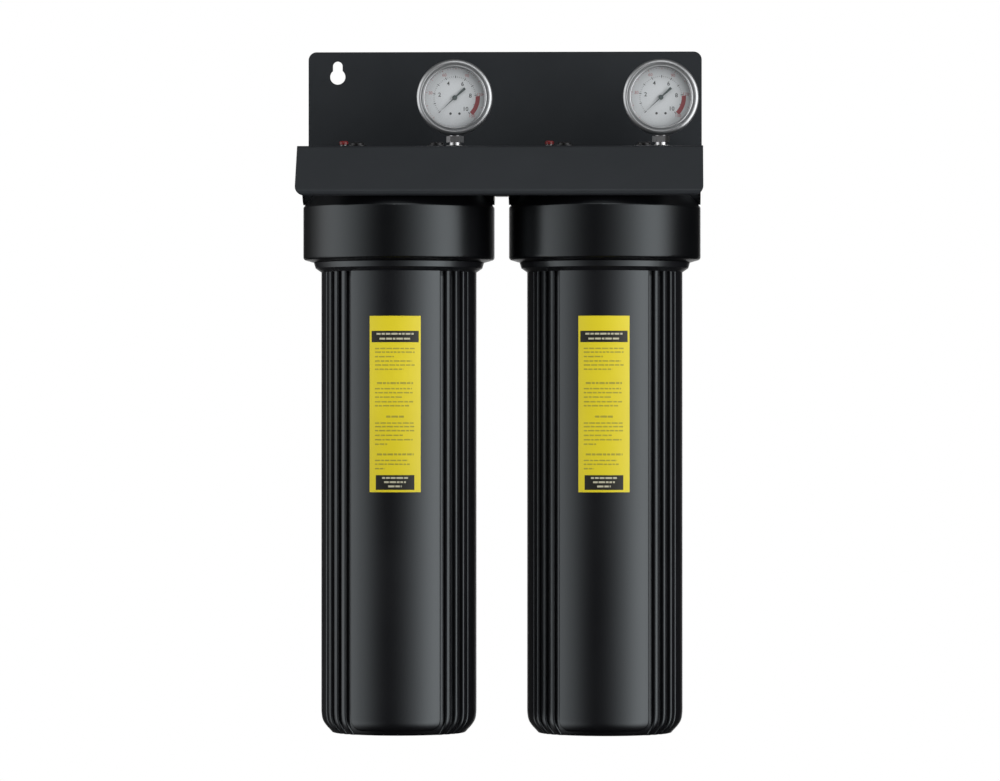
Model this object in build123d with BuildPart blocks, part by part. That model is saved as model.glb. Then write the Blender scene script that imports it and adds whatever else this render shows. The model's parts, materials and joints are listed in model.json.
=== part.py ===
from build123d import *
import math
import os

# Twin filter housing: two ribbed sumps screw into heads that hang under one bent steel bracket.
# Lengths are in millimetres and angles in degrees. X runs to the right as seen from the front,
# Z is up and the wall is the plane Y = 0. The origin is midway between the two keyholes.

# Layout
head_spacing = 198.0
head_standoff = 100.0
head_gap = 14.0
housings = (("left", -1), ("right", 1))

# Clearances
fit_gap = 0.05
seat_gap = 0.3
face_gap = 0.2
overrun = 6.0

# Bracket, from the keyhole centres
sheet = 2.0
bracket_width = 386.0
plate_rise = 24.3
shelf_drop = 76.2
apron_reach = 37.2
apron_drop = 48.6
apron_gap = 6.2
apron_lip = 8.5
inner_bend = 3.0
apron_bend = 5.0
lip_bend = 3.5
plate_corner = 8.0
apron_corner = 9.0
keyhole_spacing = 328.6
keyhole_radius = 7.5
keyhole_slot_width = 9.5
keyhole_slot_rise = 10.4

# Places on each head, seen from above
screw_inset = 18.0
gauge_port_gap = 6.0
button_port_gap = 12.0

# Screws and washers that hold the heads
screw_radius = 3.0
screw_length = 20.0
screw_hole_radius = 3.5
screw_head_radius = 6.5
screw_head_height = 2.7
screw_head_round = 1.2
washer_radius = 9.3
washer_thickness = 1.6

# Head
head_height = 104.6
shoulder_step = 36.0
head_top_wall = 6.0
shoulder_drop = 54.8
head_lip_drop = 2.6
skirt_round = 3.0
shoulder_round = 2.0
screw_boss_radius = 8.5
top_boss_radius = 14.0
top_boss_depth = 18.0
skirt_wall = 13.0
thread_depth = 35.9
chamber_ledge = 9.0
chamber_floor = 3.0
chamber_round = 8.0
seat_radius = 22.0
seat_height = 2.8
spigot_radius = 12.5
spigot_bore_radius = 10.5
spigot_length = 11.0

# Ports, the inserts in them and the nipple between the heads
port_cover = 2.0
port_wall = 5.0
passage_radius = 12.0
inlet_drop_gap = 9.0
inlet_drop_radius = 9.0
insert_wall = 4.85
insert_length = 22.0
insert_bands = 5
insert_groove = 1.2
port_thread_radius = 15.15
nipple_bore_radius = 11.5
nipple_engagement = 17.0
nipple_hex = 36.0

# Gauge insert
gauge_insert_radius = 10.0
gauge_insert_proud = 3.2
gauge_insert_depth = 12.0
gauge_thread_radius = 5.7
gauge_duct_radius = 3.0
gauge_hole_radius = 15.0

# Relief valve
button_hole_radius = 12.0
button_radius = 4.25
button_rise = 7.8
button_skirt = 3.4
button_round = 1.6
button_stem_radius = 1.6
spring_bore_radius = 5.4
spring_bore_depth = 8.0
spring_mean_radius = 3.2
spring_wire_radius = 0.45
spring_coils = 5
guide_length = 2.5
valve_bore_radius = 4.8
valve_seal_radius = 4.2
valve_seal_thickness = 2.0
valve_foot_radius = 3.4
valve_foot_thickness = 1.2

# Sump
sump_length = 451.4
rim_wall = 8.2
rim_bore_step = 4.5
sump_wall = 4.5
sump_floor = 4.5
relief_height = 4.1
sump_core_round = 14.0
sump_relief_round = 19.0
sump_bore_round = 10.0
rim_bore_depth = 50.0
rim_bore_taper = 10.0
collar_ledge = 4.0
collar_taper = 2.6
collar_height = 5.6
collar_cone_height = 5.3
rib_width = 8.6
rib_pitch = 8.85
rib_group_angle = 50.35
rib_count = 3
rib_round = 1.7
front_panel_half_angle = 35.5
side_panel_half_angle = 25.5
panel_foot = 5.0
panel_corner = 9.0
panel_round = 1.6
spud_radius = 12.2
spud_height = 11.0
knife_radius = 17.0
knife_width = 2.0

# Ring that seals the sump in the head
oring_radius = 2.25
oring_groove_width = 5.4
oring_groove_top = 2.4

# Cartridge
cartridge_gap = 8.85
cartridge_lift = 1.3
media_inset = 2.15
media_bore_radius = 17.0
core_radius = 16.7
core_bore_radius = 14.0
end_cap_height = 7.0
end_cap_floor = 2.5
end_cap_bore_radius = 14.0
gasket_radius = 21.0
gasket_thickness = 3.5
pleat_count = 36
pleat_root_radius = 30.0
pleat_tip_share = 0.12

# Gauge, along its own axis from the stem plane towards the front
gauge_lift = 12.5
case_inset = 2.2
case_wall = 1.2
case_back = 16.0
bezel_radius = 36.5
bezel_front = 15.0
bezel_back = 5.8
bezel_lip_width = 5.9
bezel_groove_inset = 3.1
bezel_groove_depth = 1.8
bezel_bead_share = 0.5
lens_thickness = 2.0
lens_gasket_width = 2.6
lens_gasket_thickness = 1.6
dial_gap = 1.5
dial_thickness = 0.8
dial_front = 4.8
dial_hole_radius = 2.2
pointer_rest_angle = 223.0
pointer_sweep = 270.0
pointer_length = 20.6
pointer_tail = 13.4
pointer_width = 1.1
pointer_tail_width = 2.6
pointer_thickness = 0.5
pointer_lift = 1.4
pointer_hub_radius = 2.4
arbor_radius = 0.8
arbor_length = 10.8
pinion_radius = 2.0
pinion_thickness = 2.2
sector_radius = 10.0
sector_half_angle = 33.0
sector_thickness = 1.2
sector_tail = 4.6
sector_tail_width = 3.0
sector_hub_radius = 2.2
sector_axle_radius = 0.8
plate_head = 5.0
plate_width = 15.0
plate_thickness = 1.0
plate_gap = 6.0
pillar_radius = 1.3
tube_inset = 10.8
tube_width = 8.0
tube_thickness = 3.4
tube_arc = 235.0
socket_block_width = 13.0
socket_block_back = 8.0
socket_block_top = 17.4
socket_neck_radius = 5.4
socket_hex = 14.5
socket_hex_height = 5.9
stem_bore_radius = 2.0

# Sizes that follow
head_radius = (head_spacing - head_gap) / 2
head_top_radius = head_radius - shoulder_step
thread_radius = head_radius - skirt_wall
chamber_radius = thread_radius - chamber_ledge
sump_thread_radius = thread_radius - seat_gap
sump_rim_bore_radius = sump_thread_radius - rim_wall
sump_bore_radius = sump_rim_bore_radius - rim_bore_step
sump_core_radius = sump_bore_radius + sump_wall
sump_relief_radius = sump_core_radius + relief_height
collar_radius = thread_radius + collar_ledge
collar_lower_radius = collar_radius - collar_taper
cartridge_radius = sump_bore_radius - cartridge_gap
media_radius = cartridge_radius - media_inset
insert_radius = port_thread_radius + insert_wall
port_boss_radius = insert_radius + port_wall
port_drop = port_boss_radius + port_cover
chamber_drop = port_drop + passage_radius + chamber_floor
inlet_drop_offset = chamber_radius - inlet_drop_radius - inlet_drop_gap
screw_square = 2 * (head_top_radius - screw_inset)
gauge_offset = head_radius - insert_length - gauge_insert_radius - gauge_port_gap
button_offset = head_radius - insert_length - valve_bore_radius - button_port_gap
shelf_reach = head_standoff + head_radius + apron_gap - apron_reach
case_radius = bezel_radius - case_inset
bezel_opening_radius = bezel_radius - bezel_lip_width
bezel_groove_radius = bezel_radius - bezel_groove_inset
dial_radius = case_radius - case_wall - dial_gap
tube_bend_radius = case_radius - tube_inset

# Heights that follow
shelf_top = -shelf_drop
shelf_under = shelf_top - sheet
skirt_bottom = shelf_under - head_height
joint_z = skirt_bottom - head_lip_drop
port_z = shelf_under - port_drop
chamber_top = shelf_under - chamber_drop
seat_z = chamber_top - seat_height
thread_top = joint_z + thread_depth
collar_top = joint_z - face_gap
rim_top = thread_top - seat_gap
sump_bottom = collar_top - sump_length
floor_z = sump_bottom + sump_floor
cartridge_top = seat_z - face_gap
cartridge_bottom = floor_z + cartridge_lift
gauge_z = shelf_top + bezel_radius + gauge_lift
apron_bottom = shelf_top - apron_drop

os.makedirs("parts", exist_ok=True)


def axis_x(side):
    return side * head_spacing / 2


def section_plane(x):
    return Plane(origin=(x, -head_standoff, 0), x_dir=(1, 0, 0), z_dir=(0, -1, 0))


def level(x, z):
    return Plane(origin=(x, -head_standoff, z))


def spin_axis(x):
    return Axis((x, -head_standoff, 0), (0, 0, 1))


def gauge_plane(side, forward):
    place = (axis_x(side) + gauge_offset, -head_standoff - forward, gauge_z)
    return Plane(origin=place, x_dir=(1, 0, 0), z_dir=(0, -1, 0))


def gauge_axis(side):
    return Axis((axis_x(side) + gauge_offset, -head_standoff, gauge_z), (0, -1, 0))


def gauge_section(side, turn=0):
    place = (axis_x(side) + gauge_offset, -head_standoff, gauge_z)
    along, up = on_circle(1, turn)
    return Plane(origin=place, x_dir=(along, 0, up), z_dir=(-up, 0, along))


def on_circle(radius, angle):
    return (radius * math.cos(math.radians(angle)), radius * math.sin(math.radians(angle)))


def reach(edge, x):
    middle = edge @ 0.5
    return math.hypot(middle.X - x, middle.Y + head_standoff)


# Bracket: back plate, shelf and sloped apron bent from one sheet
with BuildPart() as bracket:
    with BuildSketch(Plane.YZ.offset(-bracket_width / 2)):
        with BuildLine():
            FilletPolyline(
                (-sheet, plate_rise),
                (-sheet, shelf_top),
                (-shelf_reach, shelf_top),
                (-shelf_reach - apron_reach, apron_bottom),
                (-shelf_reach - apron_reach + apron_lip, apron_bottom),
                radius=(inner_bend, apron_bend, lip_bend),
            )
            offset(amount=sheet, side=Side.LEFT)
        make_face()
    extrude(amount=bracket_width)
    top_corners = bracket.edges().filter_by(Axis.Y).group_by(Axis.Z)[-1]
    fillet(top_corners, radius=plate_corner)
    with BuildSketch(Plane.XZ.offset(shelf_reach)):
        for end in (-1, 1):
            with Locations((end * bracket_width / 2, apron_bottom)):
                Rectangle(2 * apron_corner, 2 * apron_corner)
        for end in (-1, 1):
            corner = (end * (bracket_width / 2 - apron_corner), apron_bottom + apron_corner)
            with Locations(corner):
                Circle(apron_corner, mode=Mode.SUBTRACT)
    extrude(amount=apron_reach + overrun, mode=Mode.SUBTRACT)
    with BuildSketch(Plane.XZ.offset(-overrun)):
        for end in (-1, 1):
            x = end * keyhole_spacing / 2
            with Locations((x, 0)):
                Circle(keyhole_radius)
            with Locations((x, keyhole_slot_rise / 2)):
                Rectangle(keyhole_slot_width, keyhole_slot_rise)
            with Locations((x, keyhole_slot_rise)):
                Circle(keyhole_slot_width / 2)
    extrude(amount=sheet + 2 * overrun, mode=Mode.SUBTRACT)
    for side_name, side in housings:
        with BuildSketch(level(axis_x(side), shelf_top + overrun)):
            with GridLocations(screw_square, screw_square, 2, 2):
                Circle(screw_hole_radius)
            with Locations((gauge_offset, 0)):
                Circle(gauge_hole_radius)
            with Locations((-button_offset, 0)):
                Circle(button_hole_radius)
        extrude(amount=-(sheet + 2 * overrun), mode=Mode.SUBTRACT)
bracket.part.label = "bracket"
export_step(bracket.part, "parts/bracket.step")


# Screws and washers, four a head, from the top of the shelf
for side_name, side in housings:
    with BuildPart() as washers:
        with BuildSketch(level(axis_x(side), shelf_top)):
            with GridLocations(screw_square, screw_square, 2, 2):
                Circle(washer_radius)
                Circle(screw_radius + fit_gap, mode=Mode.SUBTRACT)
        extrude(amount=washer_thickness)
    washers.part.label = f"{side_name}_head_washers"
    export_step(washers.part, f"parts/{side_name}_head_washers.step")

    head_seat = shelf_top + washer_thickness
    with BuildPart() as screws:
        with BuildSketch(level(axis_x(side), head_seat)):
            with GridLocations(screw_square, screw_square, 2, 2):
                Circle(screw_head_radius)
        extrude(amount=screw_head_height)
        rims = screws.edges().filter_by(GeomType.CIRCLE).group_by(Axis.Z)[-1]
        fillet(rims, radius=screw_head_round)
        with BuildSketch(level(axis_x(side), head_seat)):
            with GridLocations(screw_square, screw_square, 2, 2):
                Circle(screw_radius)
        extrude(amount=-screw_length)
    screws.part.label = f"{side_name}_head_screws"
    export_step(screws.part, f"parts/{side_name}_head_screws.step")


# Heads: stepped cap with two ports, water passages, a cartridge seat and a threaded skirt
for side_name, side in housings:
    x = axis_x(side)
    with BuildPart() as head:
        with BuildSketch(section_plane(x)):
            with BuildLine():
                FilletPolyline(
                    (0, shelf_under),
                    (head_top_radius, shelf_under),
                    (head_top_radius, shelf_under - head_top_wall),
                    (head_radius, shelf_under - shoulder_drop),
                    (head_radius, skirt_bottom),
                    (collar_radius, joint_z),
                    (0, joint_z),
                    radius=(0, shoulder_round, shoulder_round, shoulder_round, skirt_round, 0, 0),
                    close=True,
                )
            make_face()
        revolve(axis=spin_axis(x))
        with BuildSketch(level(x, shelf_under)):
            with GridLocations(screw_square, screw_square, 2, 2):
                Circle(screw_boss_radius)
            with Locations((gauge_offset, 0), (-button_offset, 0)):
                Circle(top_boss_radius)
        extrude(amount=-top_boss_depth)
        with BuildSketch(Plane.YZ.offset(x - head_radius)):
            with Locations((-head_standoff, port_z)):
                Circle(port_boss_radius)
        extrude(amount=2 * head_radius)
        with BuildSketch(section_plane(x)):
            with BuildLine():
                FilletPolyline(
                    (0, joint_z - overrun),
                    (thread_radius, joint_z - overrun),
                    (thread_radius, thread_top),
                    (chamber_radius, thread_top),
                    (chamber_radius, chamber_top),
                    (0, chamber_top),
                    radius=(0, 0, 0, 0, chamber_round, 0),
                    close=True,
                )
            make_face()
        revolve(axis=spin_axis(x), mode=Mode.SUBTRACT)
        with BuildSketch(level(x, chamber_top)):
            Circle(seat_radius)
        extrude(amount=-seat_height)
        with BuildSketch(level(x, seat_z)):
            Circle(spigot_radius)
        extrude(amount=-spigot_length)
        with BuildSketch(level(x, port_z)):
            Circle(spigot_bore_radius)
        extrude(amount=-head_height, mode=Mode.SUBTRACT)
        with BuildSketch(level(x - inlet_drop_offset, port_z)):
            Circle(inlet_drop_radius)
        extrude(amount=-chamber_drop, mode=Mode.SUBTRACT)
        with BuildSketch(Plane.YZ.offset(x - head_radius)):
            with Locations((-head_standoff, port_z)):
                Circle(passage_radius)
        extrude(amount=head_radius - inlet_drop_offset + inlet_drop_radius, mode=Mode.SUBTRACT)
        with BuildSketch(Plane.YZ.offset(x - passage_radius)):
            with Locations((-head_standoff, port_z)):
                Circle(passage_radius)
        extrude(amount=head_radius + passage_radius, mode=Mode.SUBTRACT)
        for end in (-1, 1):
            with BuildSketch(Plane.YZ.offset(x + end * head_radius)):
                with Locations((-head_standoff, port_z)):
                    Circle(insert_radius)
            extrude(amount=-end * insert_length, mode=Mode.SUBTRACT)
        with BuildSketch(level(x, shelf_under)):
            with GridLocations(screw_square, screw_square, 2, 2):
                Circle(screw_radius + fit_gap)
        extrude(amount=-screw_length, mode=Mode.SUBTRACT)
        with BuildSketch(level(x + gauge_offset, shelf_under)):
            Circle(gauge_insert_radius)
        extrude(amount=-gauge_insert_depth, mode=Mode.SUBTRACT)
        with BuildSketch(level(x + gauge_offset, shelf_under)):
            Circle(gauge_duct_radius)
        extrude(amount=-port_drop, mode=Mode.SUBTRACT)
        with BuildSketch(level(x - button_offset, shelf_under)):
            Circle(spring_bore_radius)
        extrude(amount=-spring_bore_depth, mode=Mode.SUBTRACT)
        with BuildSketch(level(x - button_offset, shelf_under)):
            Circle(button_stem_radius + fit_gap)
        extrude(amount=-port_drop, mode=Mode.SUBTRACT)
        with BuildSketch(level(x - button_offset, port_z)):
            Circle(valve_bore_radius)
        extrude(amount=port_drop - spring_bore_depth - guide_length, mode=Mode.SUBTRACT)
    head.part.label = f"{side_name}_head"
    export_step(head.part, f"parts/{side_name}_head.step")


# Port inserts: grooved bushes moulded into the ports
port_names = {-1: ("inlet_insert", "left_outlet_insert"), 1: ("right_inlet_insert", "outlet_insert")}
for side_name, side in housings:
    for end, insert_name in zip((-1, 1), port_names[side]):
        face = Plane(
            origin=(axis_x(side) + end * head_radius, -head_standoff, port_z),
            x_dir=(0, 1, 0),
            z_dir=(-end, 0, 0),
        )
        with BuildPart() as insert:
            with BuildSketch(face):
                Circle(insert_radius)
                Circle(port_thread_radius, mode=Mode.SUBTRACT)
            extrude(amount=insert_length)
            band = insert_length / insert_bands
            for turn in range(1, insert_bands, 2):
                with BuildSketch(face.offset(turn * band)):
                    Circle(insert_radius)
                    Circle(insert_radius - insert_groove, mode=Mode.SUBTRACT)
                extrude(amount=band, mode=Mode.SUBTRACT)
        insert.part.label = insert_name
        export_step(insert.part, f"parts/{insert_name}.step")


# Nipple that joins the heads, with a hex in the gap between them
nipple_gap = head_spacing - 2 * head_radius
nipple_length = nipple_gap + 2 * nipple_engagement
with BuildPart() as nipple:
    with BuildSketch(Plane.YZ.offset(-nipple_length / 2)):
        with Locations((-head_standoff, port_z)):
            Circle(port_thread_radius - fit_gap)
    extrude(amount=nipple_length)
    with BuildSketch(Plane.YZ.offset(-nipple_gap / 2 + seat_gap)):
        with Locations((-head_standoff, port_z)):
            RegularPolygon(nipple_hex / 2, 6, major_radius=False)
    extrude(amount=nipple_gap - 2 * seat_gap)
    with BuildSketch(Plane.YZ.offset(-nipple_length / 2)):
        with Locations((-head_standoff, port_z)):
            Circle(nipple_bore_radius)
    extrude(amount=nipple_length, mode=Mode.SUBTRACT)
nipple.part.label = "joining_nipple"
export_step(nipple.part, "parts/joining_nipple.step")


# Gauge inserts: bushes in the heads that stand a little above the shelf
for side_name, side in housings:
    with BuildPart() as gauge_insert:
        insert_top = shelf_top + gauge_insert_proud
        insert_bottom = shelf_under - gauge_insert_depth
        with BuildSketch(level(axis_x(side) + gauge_offset, insert_bottom)):
            Circle(gauge_insert_radius - fit_gap)
            Circle(gauge_thread_radius, mode=Mode.SUBTRACT)
        extrude(amount=insert_top - insert_bottom)
    gauge_insert.part.label = f"{side_name}_gauge_insert"
    export_step(gauge_insert.part, f"parts/{side_name}_gauge_insert.step")


# Relief valves: a red button on a stem, the spring under it and the seal on its foot
for side_name, side in housings:
    x = axis_x(side) - button_offset
    button_top = shelf_top + button_rise
    skirt_z = button_top - button_skirt
    spring_floor = shelf_under - spring_bore_depth
    valve_seat = spring_floor - guide_length
    seal_top = valve_seat - face_gap
    foot_top = seal_top - valve_seal_thickness
    foot_bottom = foot_top - valve_foot_thickness
    with BuildPart() as button:
        with BuildSketch(level(x, skirt_z)):
            Circle(button_radius)
        extrude(amount=button_skirt)
        crown = button.edges().filter_by(GeomType.CIRCLE).group_by(Axis.Z)[-1]
        fillet(crown, radius=button_round)
        with BuildSketch(level(x, skirt_z)):
            Circle(button_stem_radius)
        extrude(amount=foot_bottom - skirt_z)
        with BuildSketch(level(x, foot_top)):
            Circle(valve_foot_radius)
        extrude(amount=foot_bottom - foot_top)
    button.part.label = f"{side_name}_relief_button"
    export_step(button.part, f"parts/{side_name}_relief_button.step")

    spring_length = skirt_z - spring_floor - 2 * spring_wire_radius
    with BuildPart() as spring:
        with BuildLine() as coil:
            Helix(
                pitch=spring_length / spring_coils,
                height=spring_length,
                radius=spring_mean_radius,
                center=(x, -head_standoff, spring_floor + spring_wire_radius),
            )
        with BuildSketch(Plane(origin=coil.line @ 0, z_dir=coil.line % 0)):
            RegularPolygon(spring_wire_radius, 6)
        sweep()
    spring.part.label = f"{side_name}_relief_spring"
    export_step(spring.part, f"parts/{side_name}_relief_spring.step")

    with BuildPart() as relief_seal:
        with BuildSketch(level(x, foot_top)):
            Circle(valve_seal_radius)
            Circle(button_stem_radius, mode=Mode.SUBTRACT)
        extrude(amount=valve_seal_thickness)
    relief_seal.part.label = f"{side_name}_relief_seal"
    export_step(relief_seal.part, f"parts/{side_name}_relief_seal.step")


# Sumps: a deep moulded bowl with a threaded rim, four smooth panels and twelve grip ribs
for side_name, side in housings:
    x = axis_x(side)
    rib_root = (sump_core_radius + sump_bore_radius) / 2
    relief_top = collar_top - collar_height
    with BuildPart() as relief:
        with BuildSketch(level(x, sump_bottom)):
            for front in (-90, 90):
                for turn in (-1, 1):
                    with PolarLocations(
                        (rib_root + sump_relief_radius) / 2,
                        rib_count,
                        start_angle=front + turn * rib_group_angle - rib_pitch,
                        angular_range=2 * rib_pitch,
                        endpoint=True,
                    ):
                        Rectangle(sump_relief_radius - rib_root, rib_width)
        extrude(amount=relief_top - sump_bottom)
        fillet(relief.edges().filter_by(Axis.Z), radius=rib_round)
    with BuildPart() as panels:
        for middle, half in ((-90, front_panel_half_angle), (0, side_panel_half_angle)):
            for facing in (middle, middle + 180):
                with BuildSketch(level(x, sump_bottom + panel_foot)):
                    with BuildLine():
                        outer = CenterArc((0, 0), sump_relief_radius, facing - half, 2 * half)
                        inner = CenterArc((0, 0), rib_root, facing - half, 2 * half)
                        Line(outer @ 0, inner @ 0)
                        Line(outer @ 1, inner @ 1)
                    make_face()
                extrude(amount=relief_top - sump_bottom - panel_foot)
        foot_corners = panels.edges().filter_by(GeomType.LINE).group_by(Axis.Z)[0]
        fillet(foot_corners, radius=panel_corner)
        rims = [
            edge
            for edge in panels.edges()
            if reach(edge, x) > sump_relief_radius - fit_gap and (edge @ 0.5).Z < relief_top - fit_gap
        ]
        fillet(rims, radius=panel_round)
    with BuildPart() as sump:
        add(relief.part)
        add(panels.part)
        with BuildSketch(section_plane(x)):
            with BuildLine():
                FilletPolyline(
                    (0, sump_bottom),
                    (sump_relief_radius, sump_bottom),
                    (sump_relief_radius, relief_top),
                    (0, relief_top),
                    radius=(0, sump_relief_round, 0, 0),
                    close=True,
                )
            make_face()
        revolve(axis=spin_axis(x), mode=Mode.INTERSECT)
        with BuildSketch(section_plane(x)):
            with BuildLine():
                FilletPolyline(
                    (0, sump_bottom),
                    (sump_core_radius, sump_bottom),
                    (sump_core_radius, relief_top - collar_cone_height),
                    (sump_relief_radius, relief_top - collar_cone_height),
                    (collar_lower_radius, relief_top),
                    (collar_radius, collar_top),
                    (sump_thread_radius, collar_top),
                    (sump_thread_radius, rim_top),
                    (0, rim_top),
                    radius=(0, sump_core_round, 0, 0, 0, 0, 0, 0, 0),
                    close=True,
                )
            make_face()
        revolve(axis=spin_axis(x))
        with BuildSketch(section_plane(x)):
            with BuildLine():
                FilletPolyline(
                    (0, floor_z),
                    (sump_bore_radius, floor_z),
                    (sump_bore_radius, rim_top - rim_bore_depth - rim_bore_taper),
                    (sump_rim_bore_radius, rim_top - rim_bore_depth),
                    (sump_rim_bore_radius, rim_top + overrun),
                    (0, rim_top + overrun),
                    radius=(0, sump_bore_round, 0, 0, 0, 0),
                    close=True,
                )
            make_face()
        revolve(axis=spin_axis(x), mode=Mode.SUBTRACT)
        groove_foot = rim_top - oring_groove_top - oring_groove_width
        with BuildSketch(level(x, groove_foot)):
            Circle(thread_radius)
            Circle(sump_thread_radius - 2 * oring_radius, mode=Mode.SUBTRACT)
        extrude(amount=oring_groove_width, mode=Mode.SUBTRACT)
        with BuildSketch(level(x, floor_z)):
            Circle(spud_radius)
        extrude(amount=spud_height)
        with BuildSketch(level(x, floor_z)):
            Circle(knife_radius)
            Circle(knife_radius - knife_width, mode=Mode.SUBTRACT)
        extrude(amount=cartridge_bottom - face_gap - floor_z)
    sump.part.label = f"{side_name}_sump"
    export_step(sump.part, f"parts/{side_name}_sump.step")

    oring_z = groove_foot + seat_gap + oring_radius
    with BuildPart() as oring:
        with BuildSketch(section_plane(x)):
            with Locations((sump_thread_radius - oring_radius, oring_z)):
                Circle(oring_radius - seat_gap / 2)
        revolve(axis=spin_axis(x))
    oring.part.label = f"{side_name}_sump_oring"
    export_step(oring.part, f"parts/{side_name}_sump_oring.step")


# Cartridges: pleated media in the left sump, a solid block in the right one
cap_top_z = cartridge_top - gasket_thickness
cap_bottom_z = cartridge_bottom + gasket_thickness
media_top = cap_top_z - end_cap_floor
media_bottom = cap_bottom_z + end_cap_floor
for side_name, side in housings:
    x = axis_x(side)
    with BuildPart() as core:
        with BuildSketch(level(x, media_bottom)):
            Circle(core_radius)
            Circle(core_bore_radius, mode=Mode.SUBTRACT)
        extrude(amount=media_top - media_bottom)
    core.part.label = f"{side_name}_cartridge_core"
    export_step(core.part, f"parts/{side_name}_cartridge_core.step")

    with BuildPart() as media:
        with BuildSketch(level(x, media_bottom)):
            if side < 0:
                pitch = 360 / pleat_count
                outline = []
                for pleat in range(pleat_count):
                    start = pleat * pitch
                    outline.append(on_circle(pleat_root_radius, start))
                    outline.append(on_circle(media_radius, start + pitch * (0.5 - pleat_tip_share)))
                    outline.append(on_circle(media_radius, start + pitch * (0.5 + pleat_tip_share)))
                Polygon(*outline, align=None)
            else:
                Circle(media_radius)
            Circle(media_bore_radius, mode=Mode.SUBTRACT)
        extrude(amount=media_top - media_bottom)
    media.part.label = f"{side_name}_cartridge_media"
    export_step(media.part, f"parts/{side_name}_cartridge_media.step")

    for end_name, outside, inward in (("top", cap_top_z, -1), ("bottom", cap_bottom_z, 1)):
        with BuildPart() as end_cap:
            with BuildSketch(level(x, outside)):
                Circle(cartridge_radius)
                Circle(end_cap_bore_radius, mode=Mode.SUBTRACT)
            extrude(amount=inward * end_cap_floor)
            with BuildSketch(level(x, outside)):
                Circle(cartridge_radius)
                Circle(media_radius + fit_gap, mode=Mode.SUBTRACT)
            extrude(amount=inward * end_cap_height)
        end_cap.part.label = f"{side_name}_cartridge_cap_{end_name}"
        export_step(end_cap.part, f"parts/{side_name}_cartridge_cap_{end_name}.step")

        with BuildPart() as gasket:
            with BuildSketch(level(x, outside)):
                Circle(gasket_radius)
                Circle(end_cap_bore_radius, mode=Mode.SUBTRACT)
            extrude(amount=-inward * gasket_thickness)
        gasket.part.label = f"{side_name}_cartridge_gasket_{end_name}"
        export_step(gasket.part, f"parts/{side_name}_cartridge_gasket_{end_name}.step")


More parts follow.
